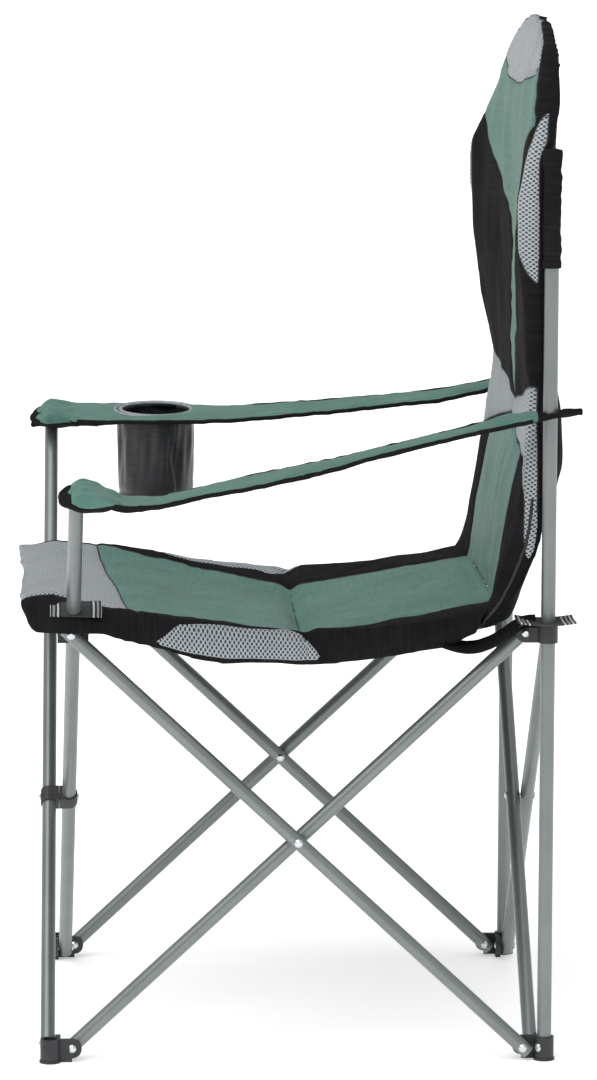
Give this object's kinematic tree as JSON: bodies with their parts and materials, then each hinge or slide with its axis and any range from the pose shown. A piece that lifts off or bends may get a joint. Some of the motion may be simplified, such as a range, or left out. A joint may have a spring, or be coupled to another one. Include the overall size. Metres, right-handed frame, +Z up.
{
  "type": "folding camp chair",
  "caption": "Folding camp chair: tube frame of four crossed pairs that closes to a bundle, padded high back, padded arms and a hanging cup holder.",
  "frame": {"origin": "on the floor under the middle of the overall box", "axes": "+Z up, the sitter faces -Y, +X is the sitter's left"},
  "size_m": [0.8583, 0.58, 1.081],
  "materials": {
    "frame_tube": "satin powder coat",
    "black_plastic": "matte moulded",
    "rivet_steel": "bright plated",
    "green_cloth": "woven polyester",
    "grey_mesh": "padded spacer mesh",
    "black_cloth": "woven polyester",
    "striped_webbing": "woven webbing",
    "grey_piping": "corded binding"
  },
  "bodies": {
    "rear_left_leg": {"post_left": "frame_tube", "post_plugs_left": "black_plastic", "foot_rear_left": "black_plastic", "foot_rivets_rear_left": "rivet_steel", "back_pad": "green_cloth", "head_pad": "grey_mesh", "sleeve_left": "black_cloth"},
    "left_outer_bar": {"bar_left_outer": "frame_tube", "plugs_left_outer": "black_plastic", "rivet_left": "rivet_steel"},
    "left_inner_bar": {"bar_left_inner": "frame_tube", "plugs_left_inner": "black_plastic"},
    "front_left_foot": {"foot_front_left": "black_plastic", "foot_rivets_front_left": "rivet_steel"},
    "rear_left_hub": {"hub_rear_left": "black_plastic", "hub_rivets_rear_left": "rivet_steel", "webbing_rear_left": "striped_webbing"},
    "front_left_hub": {"hub_front_left": "black_plastic", "hub_rivets_front_left": "rivet_steel", "webbing_front_left": "striped_webbing"},
    "rear_inner_bar": {"bar_rear_inner": "frame_tube", "plugs_rear_inner": "black_plastic", "rivet_rear": "rivet_steel"},
    "rear_outer_bar": {"bar_rear_outer": "frame_tube", "plugs_rear_outer": "black_plastic"},
    "rear_right_leg": {"post_right": "frame_tube", "post_plugs_right": "black_plastic", "foot_rear_right": "black_plastic", "foot_rivets_rear_right": "rivet_steel", "sleeve_right": "black_cloth"},
    "rear_right_hub": {"hub_rear_right": "black_plastic", "hub_rivets_rear_right": "rivet_steel", "webbing_rear_right": "striped_webbing"},
    "front_outer_tube": {"tube_front_outer": "frame_tube", "plugs_front_outer": "black_plastic", "clip_front": "black_plastic", "rivet_front": "rivet_steel", "arm_cap_right": "black_cloth"},
    "front_inner_tube": {"tube_front_inner": "frame_tube", "plugs_front_inner": "black_plastic", "clip_rear": "black_plastic", "arm_cap_left": "black_cloth"},
    "front_right_foot": {"foot_front_right": "black_plastic", "foot_rivets_front_right": "rivet_steel"},
    "front_right_hub": {"hub_front_right": "black_plastic", "hub_rivets_front_right": "rivet_steel", "webbing_front_right": "striped_webbing"},
    "right_inner_bar": {"bar_right_inner": "frame_tube", "plugs_right_inner": "black_plastic", "rivet_right": "rivet_steel"},
    "right_outer_bar": {"bar_right_outer": "frame_tube", "plugs_right_outer": "black_plastic"},
    "seat_rear": {"seat_rear_pad": "green_cloth"},
    "seat_front": {"seat_front_pad": "green_cloth"},
    "arm_left": {"arm_pad_left": "green_cloth"},
    "arm_right": {"arm_pad_right": "green_cloth", "cup_ring": "grey_piping", "cup_pouch": "black_cloth"}
  },
  "joints": [
    {"name": "fold", "type": "hinge", "parent": "rear_left_leg", "child": "left_outer_bar", "pos_m": [0.2607, 0.235, 0.014], "axis": [-1, 0, 0], "range_deg": [0, 40], "deforming": ["back_pad", "head_pad", "seat_rear_pad", "seat_front_pad", "arm_pad_left", "arm_pad_right", "arm_cap_left", "arm_cap_right", "cup_ring", "cup_pouch", "webbing_rear_left", "webbing_rear_right", "webbing_front_left", "webbing_front_right", "sleeve_left", "sleeve_right"]},
    {"name": "left_cross", "type": "hinge", "parent": "left_outer_bar", "child": "left_inner_bar", "pos_m": [0.253, 0, 0.2325], "axis": [1, 0, 0], "range_deg": [0, 80]},
    {"name": "front_left_foot_turn", "type": "hinge", "parent": "left_inner_bar", "child": "front_left_foot", "pos_m": [0.2453, -0.235, 0.014], "axis": [-1, 0, 0], "range_deg": [0, 40]},
    {"name": "rear_left_hub_turn", "type": "hinge", "parent": "left_inner_bar", "child": "rear_left_hub", "pos_m": [0.2453, 0.235, 0.451], "axis": [-1, 0, 0], "range_deg": [0, 40]},
    {"name": "front_left_hub_turn", "type": "hinge", "parent": "left_outer_bar", "child": "front_left_hub", "pos_m": [0.2607, -0.235, 0.451], "axis": [1, 0, 0], "range_deg": [0, 40]},
    {"name": "rear_foot_turn", "type": "hinge", "parent": "rear_left_leg", "child": "rear_inner_bar", "pos_m": [0.235, 0.2453, 0.014], "axis": [0, 1, 0], "range_deg": [0, 40]},
    {"name": "rear_cross", "type": "hinge", "parent": "rear_inner_bar", "child": "rear_outer_bar", "pos_m": [0, 0.253, 0.2325], "axis": [0, -1, 0], "range_deg": [0, 80]},
    {"name": "rear_right_leg_turn", "type": "hinge", "parent": "rear_outer_bar", "child": "rear_right_leg", "pos_m": [-0.235, 0.2607, 0.014], "axis": [0, 1, 0], "range_deg": [0, 40]},
    {"name": "rear_right_hub_turn", "type": "hinge", "parent": "rear_inner_bar", "child": "rear_right_hub", "pos_m": [-0.235, 0.2453, 0.451], "axis": [0, -1, 0], "range_deg": [0, 40]},
    {"name": "front_foot_turn", "type": "hinge", "parent": "front_left_foot", "child": "front_outer_tube", "pos_m": [0.235, -0.2607, 0.014], "axis": [0, 1, 0], "range_deg": [0, 40]},
    {"name": "front_cross", "type": "hinge", "parent": "front_outer_tube", "child": "front_inner_tube", "pos_m": [0, -0.25, 0.2325], "axis": [0, -1, 0], "range_deg": [0, 80]},
    {"name": "front_right_foot_turn", "type": "hinge", "parent": "front_inner_tube", "child": "front_right_foot", "pos_m": [-0.235, -0.2453, 0.014], "axis": [0, 1, 0], "range_deg": [0, 40]},
    {"name": "front_right_hub_turn", "type": "hinge", "parent": "front_outer_tube", "child": "front_right_hub", "pos_m": [-0.235, -0.2607, 0.451], "axis": [0, -1, 0], "range_deg": [0, 40]},
    {"name": "right_foot_turn", "type": "hinge", "parent": "rear_right_leg", "child": "right_inner_bar", "pos_m": [-0.2453, 0.235, 0.014], "axis": [-1, 0, 0], "range_deg": [0, 40]},
    {"name": "right_cross", "type": "hinge", "parent": "right_inner_bar", "child": "right_outer_bar", "pos_m": [-0.253, 0, 0.2325], "axis": [1, 0, 0], "range_deg": [0, 80]},
    {"name": "seat_rear_drop", "type": "hinge", "parent": "rear_left_hub", "child": "seat_rear", "pos_m": [0, 0.215, 0.455], "axis": [1, 0, 0], "range_deg": [0, 80]},
    {"name": "seat_front_lift", "type": "hinge", "parent": "seat_rear", "child": "seat_front", "pos_m": [0, 0.008, 0.435], "axis": [-1, 0, 0], "range_deg": [0, 160]},
    {"name": "arm_left_lift", "type": "hinge", "parent": "rear_left_leg", "child": "arm_left", "pos_m": [0.258, 0.258, 0.681], "axis": [-0.9638, -0.2482, -0.0976], "range_deg": [0, 72.5]},
    {"name": "arm_right_lift", "type": "hinge", "parent": "rear_right_leg", "child": "arm_right", "pos_m": [-0.258, 0.258, 0.681], "axis": [-0.9652, 0.229, 0.1264], "range_deg": [0, 65]}
  ],
  "couplings": [
    {"joint": "left_cross", "follows": "fold", "ratio": 2},
    {"joint": "front_left_foot_turn", "follows": "fold", "ratio": 1},
    {"joint": "rear_left_hub_turn", "follows": "fold", "ratio": 1},
    {"joint": "front_left_hub_turn", "follows": "fold", "ratio": 1},
    {"joint": "rear_foot_turn", "follows": "fold", "ratio": 1},
    {"joint": "rear_cross", "follows": "fold", "ratio": 2},
    {"joint": "rear_right_leg_turn", "follows": "fold", "ratio": 1},
    {"joint": "rear_right_hub_turn", "follows": "fold", "ratio": 1},
    {"joint": "front_foot_turn", "follows": "fold", "ratio": 1},
    {"joint": "front_cross", "follows": "fold", "ratio": 2},
    {"joint": "front_right_foot_turn", "follows": "fold", "ratio": 1},
    {"joint": "front_right_hub_turn", "follows": "fold", "ratio": 1},
    {"joint": "right_foot_turn", "follows": "fold", "ratio": 1},
    {"joint": "right_cross", "follows": "fold", "ratio": 2},
    {"joint": "seat_rear_drop", "follows": "fold", "ratio": 2},
    {"joint": "seat_front_lift", "follows": "fold", "ratio": 4},
    {"joint": "arm_left_lift", "follows": "fold", "ratio": 1.811},
    {"joint": "arm_right_lift", "follows": "fold", "ratio": 1.6242}
  ]
}
